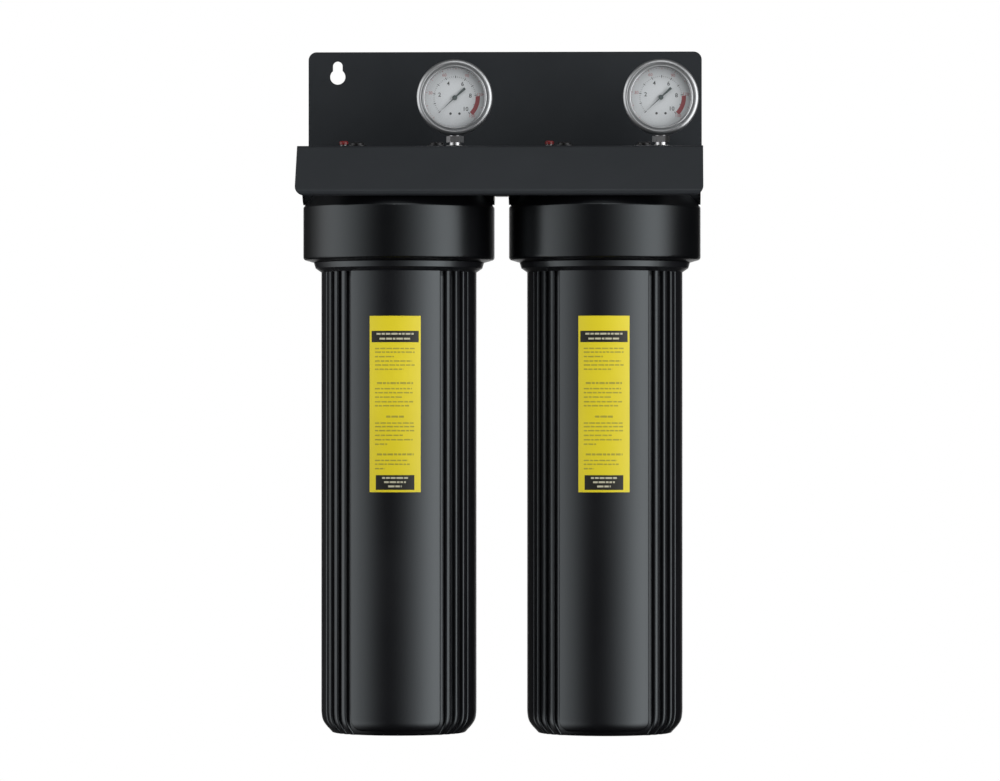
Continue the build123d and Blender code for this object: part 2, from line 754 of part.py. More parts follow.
# Gauges: case, crimped bezel, lens, dial, pointer, and the movement behind the dial
bezel_lip = bezel_front - 2 * bezel_groove_depth
lens_back = bezel_lip - lens_thickness
lens_radius = case_radius - case_wall
case_rim = lens_back - lens_gasket_thickness
hex_top = gauge_z - bezel_radius - seat_gap
hex_bottom = hex_top - socket_hex_height
socket_foot = shelf_under - gauge_insert_depth
block_bottom = gauge_z - case_radius + 2 * case_wall
block_top = gauge_z - socket_block_top
for side_name, side in housings:
    gauge_x = axis_x(side) + gauge_offset
    with BuildPart() as case:
        with BuildSketch(gauge_plane(side, -case_back)):
            Circle(case_radius)
        extrude(amount=case_back + case_rim)
        with BuildSketch(gauge_plane(side, -case_back + case_wall)):
            Circle(case_radius - case_wall)
        extrude(amount=case_back + case_rim, mode=Mode.SUBTRACT)
        with BuildSketch(level(gauge_x, gauge_z)):
            Circle(socket_neck_radius + seat_gap)
        extrude(amount=-case_radius - overrun, mode=Mode.SUBTRACT)
    case.part.label = f"{side_name}_gauge_case"
    export_step(case.part, f"parts/{side_name}_gauge_case.step")

    with BuildPart() as bezel:
        with BuildSketch(gauge_section(side)):
            with BuildLine():
                Polyline(
                    (bezel_radius, -bezel_back),
                    (bezel_radius, -bezel_front + bezel_groove_depth),
                )
                ThreePointArc(
                    (bezel_radius, -bezel_front + bezel_groove_depth),
                    ((bezel_radius + bezel_groove_radius) / 2, -bezel_front),
                    (bezel_groove_radius, -bezel_front + bezel_groove_depth),
                )
                ThreePointArc(
                    (bezel_groove_radius, -bezel_front + bezel_groove_depth),
                    (
                        (bezel_opening_radius + bezel_groove_radius) / 2,
                        -bezel_front + bezel_groove_depth * bezel_bead_share,
                    ),
                    (bezel_opening_radius, -bezel_front + bezel_groove_depth),
                )
                Polyline(
                    (bezel_opening_radius, -bezel_front + bezel_groove_depth),
                    (bezel_opening_radius, -bezel_lip),
                    (case_radius + fit_gap, -bezel_lip),
                    (case_radius + fit_gap, -bezel_back),
                    (bezel_radius, -bezel_back),
                )
            make_face()
        revolve(axis=gauge_axis(side))
    bezel.part.label = f"{side_name}_gauge_bezel"
    export_step(bezel.part, f"parts/{side_name}_gauge_bezel.step")

    with BuildPart() as lens:
        with BuildSketch(gauge_plane(side, lens_back)):
            Circle(lens_radius)
        extrude(amount=lens_thickness)
    lens.part.label = f"{side_name}_gauge_lens"
    export_step(lens.part, f"parts/{side_name}_gauge_lens.step")

    with BuildPart() as lens_gasket:
        with BuildSketch(gauge_plane(side, case_rim)):
            Circle(case_radius)
            Circle(case_radius - lens_gasket_width, mode=Mode.SUBTRACT)
        extrude(amount=lens_gasket_thickness)
    lens_gasket.part.label = f"{side_name}_gauge_lens_gasket"
    export_step(lens_gasket.part, f"parts/{side_name}_gauge_lens_gasket.step")

    with BuildPart() as dial:
        with BuildSketch(gauge_plane(side, dial_front - dial_thickness)):
            Circle(dial_radius)
            Circle(dial_hole_radius, mode=Mode.SUBTRACT)
        extrude(amount=dial_thickness)
    dial.part.label = f"{side_name}_gauge_dial"
    export_step(dial.part, f"parts/{side_name}_gauge_dial.step")

    pointer_back = dial_front + pointer_lift
    with BuildPart() as pointer:
        tip = on_circle(pointer_length, pointer_rest_angle)
        tail = on_circle(-pointer_tail, pointer_rest_angle)
        across = pointer_rest_angle + 90
        with BuildSketch(gauge_plane(side, pointer_back)):
            hub_left = on_circle(pointer_width / 2, across)
            hub_right = on_circle(-pointer_width / 2, across)
            wide = on_circle(pointer_tail_width / 2, across)
            Polygon(
                tip,
                hub_left,
                (tail[0] + wide[0], tail[1] + wide[1]),
                (tail[0] - wide[0], tail[1] - wide[1]),
                hub_right,
                align=None,
            )
            Circle(pointer_hub_radius)
        extrude(amount=pointer_thickness)
        with BuildSketch(gauge_plane(side, pointer_back)):
            Circle(arbor_radius)
        extrude(amount=-arbor_length)
        with BuildSketch(gauge_plane(side, pointer_back - arbor_length / 2)):
            Circle(pinion_radius)
        extrude(amount=-pinion_thickness)
    pointer.part.label = f"{side_name}_gauge_pointer"
    export_step(pointer.part, f"parts/{side_name}_gauge_pointer.step")

    pinion_mid = pointer_back - arbor_length / 2 - pinion_thickness / 2
    pivot_drop = sector_radius + pinion_radius + fit_gap
    with BuildPart() as sector:
        with BuildSketch(gauge_plane(side, pinion_mid - sector_thickness / 2)):
            with Locations((0, -pivot_drop)):
                Circle(sector_hub_radius)
            rest_turn = 90 - pointer_sweep * pinion_radius / sector_radius / 2
            with BuildLine():
                first = on_circle(sector_radius, rest_turn - sector_half_angle)
                middle = on_circle(sector_radius, rest_turn)
                last = on_circle(sector_radius, rest_turn + sector_half_angle)
                ThreePointArc(
                    (first[0], first[1] - pivot_drop),
                    (middle[0], middle[1] - pivot_drop),
                    (last[0], last[1] - pivot_drop),
                )
                Polyline(
                    (last[0], last[1] - pivot_drop),
                    (0, -pivot_drop),
                    (first[0], first[1] - pivot_drop),
                )
            make_face()
            tail_end = on_circle(-sector_tail / 2, rest_turn)
            with Locations(Location((tail_end[0], tail_end[1] - pivot_drop, 0), rest_turn)):
                Rectangle(sector_tail, sector_tail_width)
        extrude(amount=sector_thickness)
        axle_back = pinion_mid - plate_gap / 2 - plate_thickness
        with BuildSketch(gauge_plane(side, axle_back)):
            with Locations((0, -pivot_drop)):
                Circle(sector_axle_radius)
        extrude(amount=plate_gap + 2 * plate_thickness)
    sector.part.label = f"{side_name}_gauge_sector"
    export_step(sector.part, f"parts/{side_name}_gauge_sector.step")

    plate_length = plate_head + socket_block_top - face_gap
    plate_middle = plate_head - plate_length / 2
    with BuildPart() as movement:
        plate_backs = (pinion_mid - plate_gap / 2 - plate_thickness, pinion_mid + plate_gap / 2)
        for back in plate_backs:
            with BuildSketch(gauge_plane(side, back)):
                with Locations((0, plate_middle)):
                    RectangleRounded(plate_width, plate_length, pillar_radius)
                Circle(arbor_radius + fit_gap, mode=Mode.SUBTRACT)
                with Locations((0, -pivot_drop)):
                    Circle(sector_axle_radius + fit_gap, mode=Mode.SUBTRACT)
            extrude(amount=plate_thickness)
        with BuildSketch(gauge_plane(side, plate_backs[0])):
            with Locations((0, plate_middle)):
                with GridLocations(plate_width - 3 * pillar_radius, plate_length - 3 * pillar_radius, 2, 2):
                    Circle(pillar_radius)
        extrude(amount=plate_gap + 2 * plate_thickness)
    movement.part.label = f"{side_name}_gauge_movement"
    export_step(movement.part, f"parts/{side_name}_gauge_movement.step")

    tube_inside = tube_bend_radius - tube_thickness / 2
    block_half = socket_block_width / 2 + fit_gap
    tube_start = math.degrees(math.asin(block_half / tube_inside)) - 90
    with BuildPart() as tube:
        with BuildSketch(gauge_section(side, tube_start)):
            with Locations((tube_bend_radius, -pinion_mid)):
                SlotOverall(tube_width, tube_thickness, rotation=90)
        revolve(axis=gauge_axis(side), revolution_arc=tube_arc)
    tube.part.label = f"{side_name}_gauge_tube"
    export_step(tube.part, f"parts/{side_name}_gauge_tube.step")

    with BuildPart() as socket:
        with BuildSketch(level(gauge_x, hex_bottom)):
            RegularPolygon(socket_hex / 2, 6, major_radius=False)
        extrude(amount=socket_hex_height)
        with BuildSketch(level(gauge_x, socket_foot)):
            Circle(gauge_thread_radius - fit_gap)
        extrude(amount=hex_bottom - socket_foot)
        with BuildSketch(level(gauge_x, hex_top)):
            Circle(socket_neck_radius)
        extrude(amount=block_bottom - hex_top)
        block_front = pinion_mid + plate_gap / 2 + plate_thickness
        with BuildSketch(gauge_plane(side, -socket_block_back)):
            with Locations((0, (block_bottom + block_top) / 2 - gauge_z)):
                Rectangle(socket_block_width, block_top - block_bottom)
        extrude(amount=socket_block_back + block_front)
        with BuildSketch(level(gauge_x, socket_foot)):
            Circle(stem_bore_radius)
        extrude(amount=gauge_z - tube_bend_radius - socket_foot, mode=Mode.SUBTRACT)
    socket.part.label = f"{side_name}_gauge_socket"
    export_step(socket.part, f"parts/{side_name}_gauge_socket.step")
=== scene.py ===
import bpy
import json
import math
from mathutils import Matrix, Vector


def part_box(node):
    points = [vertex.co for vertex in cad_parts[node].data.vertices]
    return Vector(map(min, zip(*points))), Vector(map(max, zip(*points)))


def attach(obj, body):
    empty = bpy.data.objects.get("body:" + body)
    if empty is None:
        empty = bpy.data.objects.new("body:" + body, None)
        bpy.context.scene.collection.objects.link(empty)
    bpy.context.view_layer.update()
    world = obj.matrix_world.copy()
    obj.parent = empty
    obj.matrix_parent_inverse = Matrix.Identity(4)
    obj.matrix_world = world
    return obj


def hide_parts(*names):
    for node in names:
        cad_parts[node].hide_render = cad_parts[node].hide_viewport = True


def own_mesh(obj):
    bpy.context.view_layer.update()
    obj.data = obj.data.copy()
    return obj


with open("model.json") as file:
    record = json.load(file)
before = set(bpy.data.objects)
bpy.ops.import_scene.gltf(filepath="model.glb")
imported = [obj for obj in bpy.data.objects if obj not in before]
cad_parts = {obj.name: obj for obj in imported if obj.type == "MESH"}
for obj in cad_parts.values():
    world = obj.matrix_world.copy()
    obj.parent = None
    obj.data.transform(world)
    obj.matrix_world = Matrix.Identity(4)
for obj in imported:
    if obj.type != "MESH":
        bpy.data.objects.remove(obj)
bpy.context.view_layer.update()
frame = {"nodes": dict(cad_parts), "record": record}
nodes = frame["nodes"]
subparts = frame["record"]["subparts"]
slot_of = {part["node"]: part["material_slot"] for part in subparts}


def middle_x(name):
    low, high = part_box(name)
    return (low[0] + high[0]) / 2


SUMP_X = {side: middle_x(f"{side}_sump") for side in ("left", "right")}
GAUGE_X = {side: middle_x(f"{side}_gauge_dial") for side in ("left", "right")}

# Camera: far off, near the height of the object's middle and a little to the right of it
CAMERA_DISTANCE = 5.0
CAMERA_YAW = math.radians(1.8)
CAMERA_HEIGHT = -0.337
AIM = Vector((-0.0049, 0.0, -0.3080))
LENS = 183.5
SENSOR = 36.0
CLIP_END = 60.0

# Floor, which turns to white between two shares of its radius
FLOOR_Z = -0.80
FLOOR_RADIUS = 1.2
FLOOR_SIDES = 96
FLOOR_GREY = 0.32
FLOOR_ROUGHNESS = 0.9
FLOOR_FADE = (0.35, 0.98)
FLOOR_GLOW = (0.86, 1.0)

# Lamp above the camera's side
LAMP_PLACE = (0.1, -1.3, 1.5)
LAMP_TARGET = (0.0, -0.1, -0.33)
LAMP_SIZE = (1.4, 0.7)
LAMP_POWER = 7.0

# Studio: even light, and bands whose brightness goes by the angle from the camera's side to the
# right. The bands end where a direction's height (1 is straight up or down) passes BAND_EDGE.
AMBIENT = 0.12
STUDIO_BANDS = (
    (-180, 0.03), (-150, 0.02), (-132, 0.05), (-115, 0.36), (-98, 1.50), (-82, 2.15),
    (-66, 1.80), (-50, 1.15), (-38, 0.57), (-28, 0.16), (-18, 0.0), (-8, 0.0), (4, 0.16),
    (14, 0.46), (24, 0.96), (34, 1.62), (44, 2.50), (54, 3.30), (68, 3.40), (80, 1.70),
    (90, 0.32), (100, 0.0), (130, 0.0), (180, 0.03),
)
BAND_EDGE = (0.90, 0.55)
UP_STRETCH = 1.35
GLOSSY_FILL_EDGE = (0.5, 0.9)
BACKDROP_EDGE = (0.94, 1.0)

# Grain of the surfaces: broad clouds of colour, and a fine noise for the bump
CLOUD_SCALE = 14.0
CLOUD_STOPS = (0.3, 0.7)
FINE_DETAIL = 3.0
FINE_ROUGHNESS = 0.6

# Lens of the gauges: clear, with a reflection that grows towards its edge
GLASS_GREY = 0.02
GLASS_ROUGHNESS = 0.03
GLASS_EDGE_POWER = 5.0
GLASS_EDGE_SHINE = 0.9
GLASS_SHINE = 0.03

# Label on the front panel of each sump, in metres. A row of print is a drop from the label's top
# and the share of the half width where it ends; a heading has both of its ends.
AXIS_Y = -0.1
PANEL_RADIUS = 0.0746
LABEL_HALF = 0.0247
LABEL_TOP = -0.2382
LABEL_BOTTOM = -0.4054
LABEL_GROUPS = (
    (None, ((0.0303, 0.76), (0.0338, 0.76), (0.0380, -0.04), (0.0422, 0.66), (0.0460, 0.76),
            (0.0500, 0.32))),
    ((0.0628, -0.70, 0.70), ((0.0684, 0.66), (0.0722, 0.68), (0.0764, 0.26), (0.0808, 0.70),
                             (0.0846, 0.58))),
    ((0.0946, -0.34, 0.34), ((0.1010, 0.72), (0.1044, 0.74), (0.1082, 0.74), (0.1126, 0.30),
                             (0.1168, 0.68), (0.1210, -0.30))),
    ((0.1304, -0.70, 0.72), ((0.1364, 0.50), (0.1400, 0.58), (0.1442, -0.40))),
)
LABEL_PALE = (
    (LABEL_TOP - 0.0162, 0.72), (LABEL_TOP - 0.0208, 0.60),
    (LABEL_BOTTOM + 0.0144, 0.50), (LABEL_BOTTOM + 0.0104, 0.42), (LABEL_BOTTOM + 0.0064, 0.26),
)
LABEL_BANDS = (
    (0.92, LABEL_TOP - 0.0250, LABEL_TOP - 0.0142),
    (0.75, LABEL_BOTTOM + 0.0022, LABEL_BOTTOM + 0.0162),
)
ROW_LEFT = -0.78
ROW_HEIGHT = 0.0013
HEADING_HEIGHT = 0.0019
PALE_HEIGHT = 0.0017
FILM = 0.00015
INK = 0.00006
FILM_STEPS = 32
BAND_STEPS = 24
BAR_STEPS = 2

# Bars of a row of print: their widths come from a number that each bar changes
BAR_SHORTEST = 0.0022
BAR_SPREAD = 0.0042
BAR_GAP = 0.0009
SEED_FACTOR = 37
SEED_STEP = 11
SEED_CYCLE = 101
HEADING_SEED = 50
PALE_SEED = 20

# Foot of the sumps: height over the foot and radius, of the core and of the ribs and side panels
SUMP_LOW, SUMP_HIGH = (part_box("left_sump")[end][2] for end in (0, 1))
FOOT_CORE = (
    (0.0, 0.0605), (0.0004, 0.0622), (0.0012, 0.0631), (0.0030, 0.0646), (0.0059, 0.0667),
    (0.0088, 0.0684), (0.0116, 0.0696), (0.0145, 0.0703), (0.0175, 0.0705),
)
FOOT_RELIEF = (
    (0.0, 0.0625), (0.0004, 0.0641), (0.0012, 0.0648), (0.0030, 0.0664), (0.0059, 0.0692),
    (0.0088, 0.0714), (0.0116, 0.0730), (0.0145, 0.0739), (0.0174, 0.0743), (0.0210, 0.0746),
)
FOOT_END = 0.0042
FOOT_STEP = 0.00002
FOOT_HEIGHTS = (
    0.0, 0.0004, 0.0012, 0.0021, 0.0032, FOOT_END - FOOT_STEP, FOOT_END + FOOT_STEP, 0.0045,
    0.0050, 0.0056, 0.0063, 0.0071, 0.0080, 0.0090, 0.0101, 0.0114, 0.0128, 0.0144, 0.0163,
    0.0185, 0.0208, 0.0232,
)
WALL_STEPS = 4
WALL_GAP = 0.0002

# Panels and ribs of the sumps, with the angles in degrees. The front and back panels start at
# FOOT_END, with round corners, and roll in towards it.
FRONT_ROLL = 0.0060
FRONT_ROLL_HEIGHT = 0.012
CORNER = 0.0078
EDGE_ROUND = 0.0016
RIB_HALF = 0.0034
RIB_PITCH = 9.0
RIB_GROUP = 51.8
RIB_CROWN = 0.00045
FRONT_HALF_ANGLE = 35.5
SIDE_HALF_ANGLE = 25.0
EDGE_DEPTHS = (0.0, 0.00012, 0.0004, 0.0009, EDGE_ROUND, 0.0024)
CORNER_DEPTHS = (0.0030, 0.0036, 0.0044, 0.0052, 0.0062, 0.0074, 0.0090)
COLUMN_STEP = 3
COLUMN_GAP = 0.05
ANGLE_SLACK = 0.001

# Top of the sumps: collar, thread, O-ring groove (bottom, top, radius) and rim
COLLAR_TOP = -0.1856
COLLAR_HEIGHT = 0.0056
CONE_HEIGHT = 0.0039
COLLAR_RADIUS = 0.0818
COLLAR_LOWER = 0.0802
COLLAR_EDGE = 0.0004
THREAD_RADIUS = 0.0787
THREAD_PITCH = 0.00635
THREAD_DEPTH = 0.0014
THREAD_SLOPE = 2.5
THREAD_FLAT = 0.25
THREAD_FADE = 0.003
THREAD_ROWS = 34
GROOVE = (-0.1576, -0.1522, 0.0742)
RIM_EDGE = 0.0005

# Inside of the sumps: radius and height down the bowl, and the spud on its floor
BOWL = ((0.0705, -0.1498), (0.0705, -0.1998), (0.0660, -0.2098))
BOWL_ROUND = 0.010
BOWL_STEPS = 8
FLOOR_THICKNESS = 0.0045
SPUD = (
    (0.0170, 0.0), (0.0170, 0.0011), (0.0150, 0.0011), (0.0150, 0.0), (0.0122, 0.0),
    (0.0122, 0.0110),
)

# Nipple between the heads
NIPPLE_BORE = 0.0115
NIPPLE_RADIUS = 0.0166
NIPPLE_CHAMFER = 0.001
NIPPLE_FLAT = 0.0168
NIPPLE_HEX_HALF = 0.0067
NIPPLE_HEX_EDGE = 0.0005
NIPPLE_HEX_CHAMFER = 0.0008
NIPPLE_SIDES = 36

# Springs under the relief buttons
COIL_RADIUS = 0.0032
COIL_WIRE = 0.00045
COIL_TURNS = 7
COIL_STEPS = 24
COIL_SIDES = 8
COIL_GAP = 0.00005

# Gauges: height of their middle, front of the dial, and the bezel's section (radius, place in y)
GAUGE_Z = -0.0272
DIAL_Y = -0.1048
BEZEL_SIDES = 144
BEZEL_OUTLINE = (
    (0.0365, -0.1058), (0.0365, -0.1118), (0.03635, -0.1126), (0.0359, -0.11335),
    (0.0352, -0.1140), (0.0344, -0.1145), (0.0336, -0.1148), (0.0329, -0.1149),
    (0.0325, -0.1147), (0.0322, -0.1134), (0.0312, -0.1134), (0.0309, -0.1139),
    (0.0305, -0.11425), (0.0299, -0.11445), (0.0293, -0.1143), (0.0288, -0.1138),
    (0.0286, -0.1130), (0.0286, -0.11145), (0.0344, -0.11145), (0.0344, -0.1058),
)

# Print on the dials. Ticks: inner radius, outer radius, count, half width in degrees. Red band:
# radii and angles. Spots: place across and up. Numbers: step, radius, size.
ZERO_ANGLE = 223.0
SWEEP = 270.0
ARC_STEP = 3.0
TICK_SKIP = 5
RIM_SMALL_TICKS = (0.0276, 0.0288, 50, 0.30)
RIM_LARGE_TICKS = (0.0270, 0.0288, 10, 0.6)
INNER_SMALL_TICKS = (0.0196, 0.0207, 50, 0.45)
INNER_LARGE_TICKS = (0.0190, 0.0213, 10, 1.0)
TICK_LIFT = 0.00006
RED_BAND = (0.0200, 0.0240, 4.0, -44.0)
SPOTS = ((-0.0042, -0.0152), (0.0044, -0.0152))
SPOT_RADIUS = 0.0012
SPOT_SIDES = 12
NUMBER_COUNT = 5
OUTER_NUMBERS = (30, 0.0240, 0.0042)
INNER_NUMBERS = (2, 0.0150, 0.0056)
NUMBER_WEIGHT = 0.012
PRINT_LIFT = 0.00008

# Angles, in degrees, above which an edge stays sharp
SHELL_SHARP = 32
COIL_SHARP = 60
BEZEL_SHARP = 50


# Small helpers for shader nodes
def shader(name):
    material = bpy.data.materials.new(name)
    material.use_nodes = True
    tree = material.node_tree
    tree.nodes.clear()
    output = tree.nodes.new("ShaderNodeOutputMaterial")
    surface = tree.nodes.new("ShaderNodeBsdfPrincipled")
    tree.links.new(surface.outputs["BSDF"], output.inputs["Surface"])
    return material, tree, surface


def object_place(tree):
    return tree.nodes.new("ShaderNodeTexCoord").outputs["Object"]


def noise(tree, place, scale, detail=4.0, rough=0.55):
    grain = tree.nodes.new("ShaderNodeTexNoise")
    grain.inputs["Scale"].default_value = scale
    grain.inputs["Detail"].default_value = detail
    grain.inputs["Roughness"].default_value = rough
    tree.links.new(place, grain.inputs["Vector"])
    return grain.outputs["Fac"]


def ramp(tree, value, stops):
    blend = tree.nodes.new("ShaderNodeValToRGB")
    elements = blend.color_ramp.elements
    while len(elements) < len(stops):
        elements.new(0.5)
    for element, (place, colour) in zip(elements, stops):
        element.position = place
        element.color = (*colour, 1.0)
    tree.links.new(value, blend.inputs["Fac"])
    return blend.outputs["Color"]


def spread(tree, value, low, high):
    scaled = tree.nodes.new("ShaderNodeMapRange")
    scaled.inputs["To Min"].default_value = low
    scaled.inputs["To Max"].default_value = high
    tree.links.new(value, scaled.inputs["Value"])
    return scaled.outputs["Result"]


def soft_step(tree, value, start, end, low=0.0, high=1.0):
    """From low to high, smoothly, as the value goes from start to end."""
    step = tree.nodes.new("ShaderNodeMapRange")
    step.interpolation_type = "SMOOTHSTEP"
    step.inputs["From Min"].default_value = start
    step.inputs["From Max"].default_value = end
    step.inputs["To Min"].default_value = low
    step.inputs["To Max"].default_value = high
    tree.links.new(value, step.inputs["Value"])
    return step.outputs["Result"]


def math_node(tree, operation, *values):
    step = tree.nodes.new("ShaderNodeMath")
    step.operation = operation
    for socket, value in zip(step.inputs, values):
        if isinstance(value, (int, float)):
            socket.default_value = value
        else:
            tree.links.new(value, socket)
    return step.outputs["Value"]


def mixed(tree, share, first, second):
    """The first shader, and the second by its share."""
    mix = tree.nodes.new("ShaderNodeMixShader")
    tree.links.new(share, mix.inputs["Fac"])
    tree.links.new(first, mix.inputs[1])
    tree.links.new(second, mix.inputs[2])
    return mix.outputs["Shader"]


def bump(tree, surface, height, depth, strength=1.0):
    relief = tree.nodes.new("ShaderNodeBump")
    relief.inputs["Strength"].default_value = strength
    relief.inputs["Distance"].default_value = depth
    tree.links.new(height, relief.inputs["Height"])
    tree.links.new(relief.outputs["Normal"], surface.inputs["Normal"])


def grained(name, dark, light, rough, grain_scale, grain_depth, metallic=0.0, gloss=0.5,
            tint=(1, 1, 1)):
    material, tree, surface = shader(name)
    surface.inputs["Specular IOR Level"].default_value = gloss
    surface.inputs["Specular Tint"].default_value = (*tint, 1.0)
    place = object_place(tree)
    clouds = noise(tree, place, CLOUD_SCALE)
    fine = noise(tree, place, grain_scale, FINE_DETAIL, FINE_ROUGHNESS)
    colour = ramp(tree, clouds, tuple(zip(CLOUD_STOPS, (dark, light))))
    tree.links.new(colour, surface.inputs["Base Color"])
    tree.links.new(spread(tree, clouds, rough[0], rough[1]), surface.inputs["Roughness"])
    surface.inputs["Metallic"].default_value = metallic
    bump(tree, surface, fine, grain_depth)
    return material


def glass(name):
    material, tree, surface = shader(name)
    surface.inputs["Base Color"].default_value = (GLASS_GREY, GLASS_GREY, GLASS_GREY, 1.0)
    surface.inputs["Roughness"].default_value = GLASS_ROUGHNESS
    clear = tree.nodes.new("ShaderNodeBsdfTransparent")
    edge = tree.nodes.new("ShaderNodeLayerWeight")
    steep = math_node(tree, "POWER", edge.outputs["Facing"], GLASS_EDGE_POWER)
    shine = math_node(tree, "MULTIPLY_ADD", steep, GLASS_EDGE_SHINE, GLASS_SHINE)
    final = mixed(tree, shine, clear.outputs["BSDF"], surface.outputs["BSDF"])
    tree.links.new(final, tree.nodes["Material Output"].inputs["Surface"])
    return material


# Materials by slot
COOL = (0.88, 0.96, 1.0)
materials = {
    "bracket_steel": grained("powder_coat", (0.0122, 0.0136, 0.0164), (0.0156, 0.0172, 0.0202),
                             (0.42, 0.50), 1400.0, 0.00006, tint=COOL),
    "housing_plastic": grained("moulded_black", (0.0060, 0.0060, 0.0074),
                               (0.0080, 0.0080, 0.0096), (0.28, 0.33), 900.0, 0.00002,
                               gloss=0.60, tint=COOL),
    "brass": grained("machined_brass", (0.55, 0.40, 0.18), (0.66, 0.49, 0.23),
                     (0.22, 0.34), 700.0, 0.00003, 1.0),
    "black_steel": grained("black_zinc", (0.012, 0.012, 0.013), (0.022, 0.022, 0.024),
                           (0.26, 0.36), 900.0, 0.00003, 0.6),
    "gauge_chrome": grained("chrome", (0.56, 0.57, 0.59), (0.64, 0.65, 0.66),
                            (0.20, 0.27), 300.0, 0.00001, 1.0),
    "gauge_glass": glass("clear_lens"),
    "rubber": grained("rubber", (0.012, 0.012, 0.012), (0.02, 0.02, 0.02),
                      (0.60, 0.72), 1200.0, 0.00005),
    "dial_face": grained("dial_paint", (0.70, 0.73, 0.75), (0.74, 0.77, 0.79),
                         (0.42, 0.50), 900.0, 0.00001),
    "pointer_black": grained("pointer_paint", (0.095, 0.115, 0.115), (0.115, 0.137, 0.137),
                             (0.36, 0.44), 900.0, 0.00001),
    "red_plastic": grained("red_plastic", (0.16, 0.006, 0.008), (0.20, 0.008, 0.010),
                           (0.30, 0.38), 600.0, 0.00001),
    "spring_steel": grained("drawn_wire", (0.42, 0.42, 0.43), (0.52, 0.52, 0.53),
                            (0.20, 0.30), 900.0, 0.00002, 1.0),
    "cartridge_plastic": grained("white_plastic", (0.72, 0.72, 0.70), (0.78, 0.78, 0.76),
                                 (0.36, 0.44), 700.0, 0.00003),
    "pleated_media": grained("pleated_fabric", (0.72, 0.72, 0.69), (0.80, 0.80, 0.77),
                             (0.80, 0.90), 1600.0, 0.00012),
    "carbon_block": grained("wrapped_block", (0.62, 0.62, 0.60), (0.74, 0.74, 0.71),
                            (0.82, 0.92), 1100.0, 0.0002),
}

# Finishes of nodes that look different from the rest of their slot, by the end of the name. The
# heads' darker copy of the housing plastic is painted shade, the shade under the shelf and
# apron.
finishes_and_painted_shade = {
    "_head": grained("moulded_black_head_painted_shade", (0.0024, 0.0024, 0.0030), (0.0034, 0.0034, 0.0042),
                     (0.27, 0.32), 900.0, 0.00002, tint=COOL),
    "_gauge_insert": grained("plated_insert", (0.10, 0.10, 0.10), (0.14, 0.14, 0.14),
                             (0.30, 0.38), 700.0, 0.00002, 1.0),
    "_gauge_socket": grained("plated_socket", (0.50, 0.50, 0.51), (0.60, 0.60, 0.61),
                             (0.26, 0.32), 500.0, 0.00002, 1.0),
}

# Materials of the pieces
satin_bezel = grained("satin_bezel", (0.42, 0.43, 0.44), (0.48, 0.49, 0.50),
                      (0.36, 0.42), 300.0, 0.00001, 1.0)
label_yellow = grained("label_film", (0.80, 0.66, 0.016), (0.86, 0.72, 0.022),
                       (0.34, 0.42), 500.0, 0.00001)
label_black = grained("label_ink", (0.010, 0.010, 0.008), (0.016, 0.015, 0.010),
                      (0.38, 0.46), 700.0, 0.00001)
label_grey = grained("label_rules", (0.40, 0.34, 0.03), (0.46, 0.40, 0.04),
                     (0.42, 0.50), 700.0, 0.00001)
label_pale = grained("label_light", (0.52, 0.50, 0.36), (0.60, 0.57, 0.42),
                     (0.42, 0.50), 700.0, 0.00001)
dial_ink = grained("dial_ink", (0.075, 0.080, 0.085), (0.100, 0.105, 0.110),
                   (0.45, 0.55), 700.0, 0.00001)
dial_red = grained("dial_red_band", (0.36, 0.10, 0.11), (0.42, 0.12, 0.13),
                   (0.42, 0.50), 700.0, 0.00001)
dial_rose = grained("dial_red_ink", (0.52, 0.30, 0.31), (0.58, 0.34, 0.35),
                    (0.45, 0.55), 700.0, 0.00001)


def finish_or_painted_shade_of(name):
    for ending, chosen_finish_or_shade in finishes_and_painted_shade.items():
        if name.endswith(ending):
            return chosen_finish_or_shade
    return materials[slot_of[name]]


for name, node in nodes.items():
    node.data.materials.clear()
    node.data.materials.append(finish_or_painted_shade_of(name))


# Camera, lamp, world and floor
def set_camera():
    data = bpy.data.cameras.new("camera")
    data.lens = LENS
    data.sensor_width = SENSOR
    data.clip_end = CLIP_END
    camera = bpy.data.objects.new("camera", data)
    bpy.context.scene.collection.objects.link(camera)
    side = AIM.x + CAMERA_DISTANCE * math.tan(CAMERA_YAW)
    camera.location = (side, -CAMERA_DISTANCE, CAMERA_HEIGHT)
    camera.rotation_mode = "QUATERNION"
    camera.rotation_quaternion = (AIM - camera.location).to_track_quat("-Z", "Y")
    bpy.context.scene.camera = camera


def lamp(name, place, target, width, height, power):
    data = bpy.data.lights.new(name, "AREA")
    data.shape = "RECTANGLE"
    data.size = width
    data.size_y = height
    data.energy = power
    light = bpy.data.objects.new(name, data)
    bpy.context.scene.collection.objects.link(light)
    light.location = place
    light.rotation_mode = "QUATERNION"
    light.rotation_quaternion = (Vector(target) - Vector(place)).to_track_quat("-Z", "Y")


